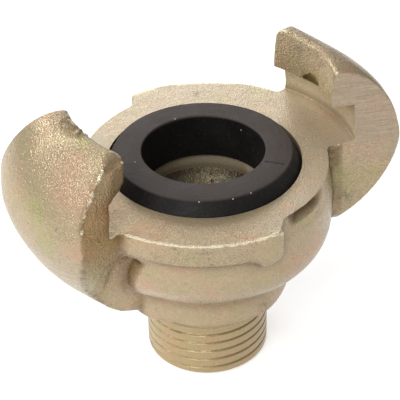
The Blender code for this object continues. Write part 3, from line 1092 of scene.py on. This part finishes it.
def zinc_finish(
    name, effects, base, pink, green,
    tint, grain, bump, rough, metallic, pits, corner_shade_level=0.85, lines=None,
):
    """Plated iron; lines is (stretch, turn, strength) of its machining marks, where it has any."""
    grain_tree, film_tree, wear_and_highlight_tree = effects
    material, work, surface = new_material(name)
    skin = work.group(grain_tree, {"Grain size": grain, "Pits": pits})
    tints = {"Base": colour(*base), "Pink": colour(*pink), "Green": colour(*green)}
    tone = work.group(film_tree, {**tints, "Tint amount": tint})["Color"]
    worn_and_highlit = work.group(wear_and_highlight_tree, {"Amount": RUB_AND_HIGHLIGHT_AMOUNT})["Mask"]
    relief = work.maths("MULTIPLY_ADD", work.mark("coarse"), bump * 0.9, bump * 0.5)
    height = work.maths("MULTIPLY", skin["Height"], relief)
    shade = work.span(skin["Tone"], 0.35, 0.65, 0.92, 1.06)
    if lines:
        stretch, turn, strength = lines
        marks = work.noise(work.place(stretch, turn), 0.35, 3.0, 0.6)
        height = work.maths("ADD", height, work.maths("MULTIPLY", marks, strength))
        shade = work.maths("MULTIPLY", shade, work.span(marks, 0.3, 0.7, 0.90, 1.08))
    # painted shade: the pits darker
    shade = work.maths("MULTIPLY", shade, work.span(skin["Pit mask"], 0.0, 1.0, 1.0, 0.6))
    grey = work.add("ShaderNodeCombineColor", {"Red": shade, "Green": shade, "Blue": shade})
    tone = work.blend(1.0, tone, grey, "MULTIPLY")
    # painted shade: inner corners darkened towards brown
    deep = work.span(work.mark("hollow"), 0.0, 1.0, 0.0, corner_shade_level)
    tone = work.blend(deep, tone, work.blend(1.0, tone, CORNER_SHADE_TINT, "MULTIPLY"))
    uneven = work.span(work.noise(work.place(), 0.7, 3.0, 0.6), 0.40, 0.60)
    stain = work.maths("MULTIPLY", work.mark("stain"), uneven)
    tone = work.blend(work.maths("MULTIPLY", stain, 0.45), tone, colour(*STAIN_GREY))
    # thick golden film, partly painted shade
    tone = work.blend(work.mark("film"), tone, work.blend(1.0, tone, THICK_FILM_AND_SHADE, "MULTIPLY"))
    # rubbed edges painted bright, partly painted highlight
    work.put(surface.inputs["Base Color"], work.blend(worn_and_highlit, tone, colour(*RUBBED_BRIGHT_AND_HIGHLIGHT)))
    roughness = work.span(skin["Tone"], 0.3, 0.7, rough + 0.08, rough - 0.08)
    roughness = work.maths("SUBTRACT", roughness, work.maths("MULTIPLY", worn_and_highlit, 0.12))
    work.put(surface.inputs["Roughness"], roughness)
    surface.inputs["Metallic"].default_value = metallic
    work.put(surface.inputs["Normal"], work.bump(height, 0.25 * MM))
    return material


# The seal's one nick: its middle in metres, and its turn in degrees
NICK_PLACE = (0.0113, -0.00464, 0.0404)
NICK_TURN = -17.6

# Specks of dust on the seal: x, y and height above the thread's end, in millimetres
DUST = (
    (-4.76, 9.17, 40.02),
    (6.25, 7.86, 38.42),
    (-0.94, -14.62, 40.32),
    (4.34, -13.96, 40.28),
    (7.18, -12.62, 40.38),
    (-11.12, -3.68, 40.42),
)


def rubber_finish():
    """Moulded rubber: black, its top face painted grey as sheen from the light above, dust specks and
    a slightly rough skin.
    """
    material, work, surface = new_material("seal_rubber")
    where = work.place()
    _, back, up = work.axes(where)
    level = work.maths("MULTIPLY_ADD", back, math.tan(math.radians(SEAL_LEAN)), up)
    top = work.span(level, (FACE_Z + 1.55) * MM, (FACE_Z + 2.0) * MM)
    cloud = work.noise(where, 4.0, 4.0, 0.6)
    fine = work.noise(where, 0.5, 3.0, 0.6)
    # painted sheen: the top face grey, as light from above falls on it
    painted_top_sheen = work.maths("MULTIPLY", top, work.span(cloud, 0.25, 0.75, 0.75, 1.0))
    tone = work.blend(painted_top_sheen, colour(24, 23, 22), colour(78, 70, 66))
    tone = work.blend(work.span(fine, 0.55, 0.75, 0.0, 0.15), tone, colour(100, 92, 88))
    nearest = 1.0
    for speck in DUST:
        values = (where, tuple(c * MM for c in speck))
        away = work.add("ShaderNodeVectorMath", values, output="Value", operation="DISTANCE")
        nearest = work.maths("MINIMUM", nearest, away)
    dusty = work.span(nearest, 0.15 * MM, 0.08 * MM, 0.0, 0.85)
    tone = work.blend(dusty, tone, colour(205, 200, 195))
    turn = (0.0, 0.0, math.radians(NICK_TURN))
    along, across, _ = work.axes(work.add(
        "ShaderNodeMapping", {"Vector": where, "Location": NICK_PLACE, "Rotation": turn},
        vector_type="TEXTURE",
    ))
    wander = work.maths("MULTIPLY_ADD", work.noise(where, 1.2), 0.5 * MM, -0.25 * MM)
    across = work.maths("ABSOLUTE", work.maths("ADD", across, wander))
    nick = work.maths(
        "MULTIPLY", work.span(across, 0.20 * MM, 0.07 * MM),
        work.span(work.maths("ABSOLUTE", along), 1.75 * MM, 1.45 * MM),
    )
    nick = work.maths("MULTIPLY", nick, top)
    # painted shade: the nick's cut dark against the top face
    tone = work.blend(nick, tone, colour(24, 22, 21))
    work.put(surface.inputs["Base Color"], tone)
    work.put(surface.inputs["Roughness"], work.span(cloud, 0.3, 0.7, 0.5, 0.68))
    surface.inputs["Specular IOR Level"].default_value = 0.35
    height = work.maths("MULTIPLY_ADD", fine, 0.5, work.maths("MULTIPLY", cloud, 0.8))
    height = work.maths("SUBTRACT", height, nick)
    work.put(surface.inputs["Normal"], work.bump(height, 0.12 * MM))
    return material


# What each zinc finish is: screen colours of the film and its tints, how much tint, size and
# height of the grain, roughness, metallic, pits, and where it has them painted corner shade and marks
FINISHES = {
    "cast_zinc": dict(
        base=(184, 165, 133), pink=(200, 160, 132), green=(168, 166, 110),
        tint=0.6, grain=1.0, bump=1.3, rough=0.30, metallic=0.50, pits=0.5,
    ),
    "turned_zinc": dict(
        base=(212, 196, 170), pink=(224, 186, 152), green=(206, 196, 156),
        tint=0.6, grain=0.8, bump=0.9, rough=0.33, metallic=0.55, pits=0.25, corner_shade_level=0.25,
    ),
    "slotted_zinc": dict(
        base=(200, 187, 160), pink=(204, 180, 156), green=(192, 184, 148),
        tint=0.5, grain=0.8, bump=0.8, rough=0.45, metallic=0.40, pits=0.5, corner_shade_level=0.6,
    ),
    # dark base: painted shade deep down in the cone and bore
    "shaded_bore_zinc": dict(
        base=(112, 104, 84), pink=(142, 120, 86), green=(110, 104, 76),
        tint=0.8, grain=1.0, bump=1.6, rough=0.38, metallic=0.45, pits=1.0,
    ),
    "notched_zinc": dict(
        base=(176, 160, 110), pink=(180, 156, 110), green=(164, 152, 96),
        tint=0.6, grain=0.8, bump=0.6, rough=0.60, metallic=0.20, pits=0.5, corner_shade_level=0.2,
    ),
    "ground_zinc": dict(
        base=(184, 166, 142), pink=(196, 160, 140), green=(180, 168, 138),
        tint=0.5, grain=0.8, bump=0.2, rough=0.40, metallic=0.55, pits=0.3,
        lines=((0.06, 0.06, 1.0), (0.0, math.radians(-3.0), math.radians(-11.0)), 0.3),
    ),
    "thread_zinc": dict(
        base=(180, 160, 122), pink=(190, 154, 118), green=(170, 158, 110),
        tint=0.5, grain=0.7, bump=0.7, rough=0.34, metallic=0.60, pits=0.3,
    ),
}


# ---- floor, lights

WHITE = (1.0, 1.0, 1.0, 1.0)
FLOOR_GREY = (0.75, 0.75, 0.75, 1.0)
FLOOR_DROP = 0.0002
FLOOR_HALF = 2
FLOOR_GLOW = 0.60
WORLD_GLOW = 0.29

# Square lamps: name, place in metres, width and power
LAMP_TARGET = (0.0, 0.0, 0.03)
LAMPS = (
    ("key", (-0.403, -0.035, 0.324), 0.06, 0.45),
    ("front", (-0.15, -0.34, 0.36), 0.24, 1.3),
    ("back", (-0.04, 0.451, 0.241), 0.24, 0.33),
    ("back left", (-0.293, 0.246, 0.351), 0.18, 0.62),
)

# Camera, from a fit to the thread and to the turned edges: place in metres, then how far it
# looks down, turns and rolls in degrees, and its lens in millimetres
CAMERA_PLACE = (0.0, -0.20354, 0.18111)
CAMERA_TURNS = (36.62, -0.236, -1.269)
CAMERA_LENS = 137.0


def make_floor():
    """Pale floor that keeps the shadow; a glow that only the eye and mirrors see makes it white."""
    material, work, surface = new_material("studio_floor")
    surface.inputs["Base Color"].default_value = FLOOR_GREY
    surface.inputs["Roughness"].default_value = 0.9
    surface.inputs["Specular IOR Level"].default_value = 0.0
    rays = work.tree.nodes.new("ShaderNodeLightPath").outputs
    seen = work.maths("MAXIMUM", rays["Is Camera Ray"], rays["Is Glossy Ray"])
    seen = work.maths("MAXIMUM", seen, rays["Is Transmission Ray"])
    strength = work.maths("MULTIPLY", seen, FLOOR_GLOW)
    glow = work.add("ShaderNodeEmission", {"Color": WHITE, "Strength": strength})
    both = work.add("ShaderNodeAddShader", (surface.outputs[0], glow))
    work.put(work.tree.nodes["Material Output"].inputs["Surface"], both)
    bm = bmesh.new()
    square = ((-1, -1), (1, -1), (1, 1), (-1, 1))
    corners = [(x * FLOOR_HALF, y * FLOOR_HALF, -FLOOR_DROP) for x, y in square]
    bm.faces.new([bm.verts.new(corner) for corner in corners])
    new_piece("floor", mesh_from(bm, "floor"), [material])


def make_light(name, place, size, power):
    data = bpy.data.lights.new(name, "AREA")
    data.shape = "SQUARE"
    data.size = size
    data.energy = power
    lamp = add_object(name, data)
    lamp.location = place
    towards = Vector(LAMP_TARGET) - Vector(place)
    lamp.rotation_euler = towards.to_track_quat("-Z", "Y").to_euler()


def make_world():
    world = bpy.data.worlds.new("studio")
    world.use_nodes = True
    background = world.node_tree.nodes["Background"]
    background.inputs["Color"].default_value = WHITE
    background.inputs["Strength"].default_value = WORLD_GLOW
    bpy.context.scene.world = world


def make_camera():
    tilt, yaw, roll = (math.radians(angle) for angle in CAMERA_TURNS)
    level = Vector((math.sin(yaw), math.cos(yaw), 0.0))
    ahead = math.cos(tilt) * level - Vector((0.0, 0.0, math.sin(tilt)))
    right = Vector((math.cos(yaw), -math.sin(yaw), 0.0))
    up = right.cross(ahead)
    side = math.cos(roll) * right + math.sin(roll) * up
    top = -math.sin(roll) * right + math.cos(roll) * up
    data = bpy.data.cameras.new("camera")
    data.sensor_width = 36.0
    data.lens = CAMERA_LENS
    data.clip_start = 0.01
    camera = add_object("camera", data)
    turn = Matrix((side, top, -ahead)).transposed().to_4x4()
    camera.matrix_world = Matrix.Translation(CAMERA_PLACE) @ turn
    bpy.context.scene.camera = camera


def make_scene():
    effects = (grain_effect(), passivation_effect(), wear_and_highlight_effect())
    metal = {name: zinc_finish(name, effects, **values) for name, values in FINISHES.items()}
    body = make_body(metal)
    thread = make_thread(metal["thread_zinc"])
    seal = make_seal(rubber_finish())
    for piece, node, slot in (
        (body, "coupling_body", "zinc_plated_cast_iron"),
        (thread, "coupling_body", "zinc_plated_cast_iron"),
        (seal, "seal_ring", "seal_rubber"),
    ):
        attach(piece, "root")
        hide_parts(node)
    make_floor()
    make_world()
    for lamp in LAMPS:
        make_light(*lamp)
    make_camera()
    bpy.context.scene.view_settings.view_transform = "Standard"


make_scene()
